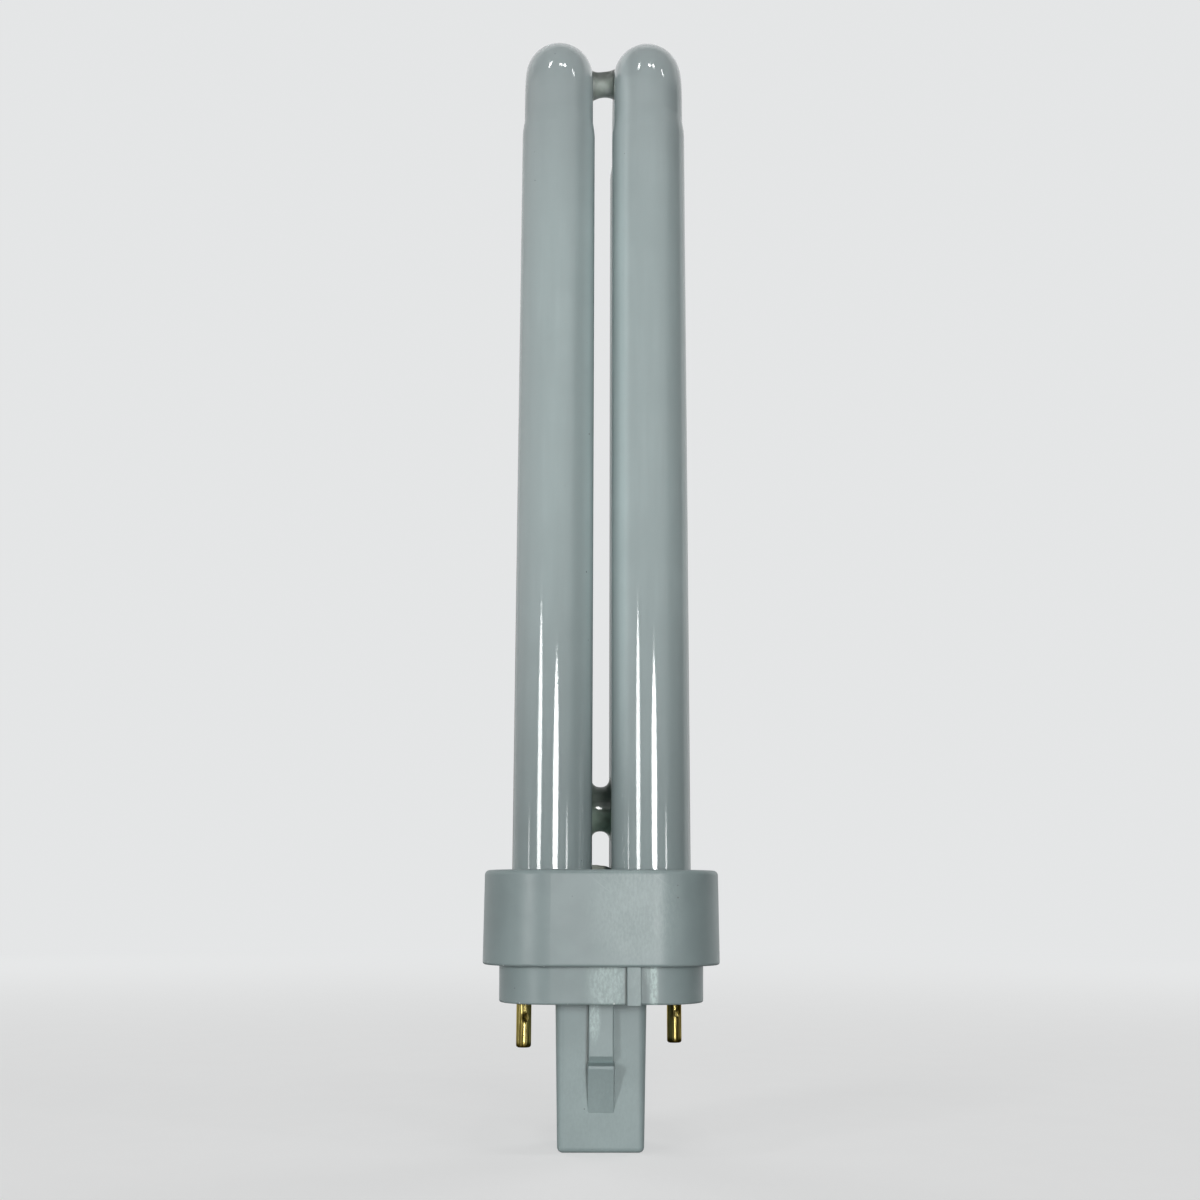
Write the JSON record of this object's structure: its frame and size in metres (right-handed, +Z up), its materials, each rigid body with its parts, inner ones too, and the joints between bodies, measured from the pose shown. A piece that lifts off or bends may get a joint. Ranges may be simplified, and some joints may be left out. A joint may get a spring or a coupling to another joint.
{
  "type": "compact fluorescent bulb",
  "caption": "Plug-in compact fluorescent lamp: white bent glass tubes on a rounded square cap, with a collar, brass contact pins and a latched key post below.",
  "frame": {"origin": "centre of the reference face, the collar's underside that seats on a lampholder, on the lamp's axis", "axes": "+Z up along the glass tubes, -Y towards the front, where the picture was taken from, +X to the right seen from the front"},
  "size_m": [0.0346, 0.0346, 0.177],
  "materials": {
    "coated_glass": "clear glass over a white powder coat on its inner face, glossy",
    "clear_adhesive": "cloudy silicone bead, satin",
    "white_moulding": "fine satin moulding",
    "pin_brass": "bright plated brass with crimp marks",
    "cement": "cream basing cement, matt",
    "wire_metal": "drawn wire",
    "starter_glass": "clear glass",
    "capacitor_dip": "dipped lacquer"
  },
  "bodies": {
    "root": {"discharge_tube": "coated_glass", "crown_link": "clear_adhesive", "cap_shell": "white_moulding", "basing_cement": "cement", "plug_base": "white_moulding", "contact_pin_left": "pin_brass", "contact_pin_right": "pin_brass", "pin_wire_left": "wire_metal", "pin_wire_right": "wire_metal", "starter_wire_left": "wire_metal", "starter_wire_right": "wire_metal", "starter_splice_left": "pin_brass", "starter_splice_right": "pin_brass", "starter_bottle": "starter_glass", "starter_capacitor": "capacitor_dip"}
  },
  "joints": []
}
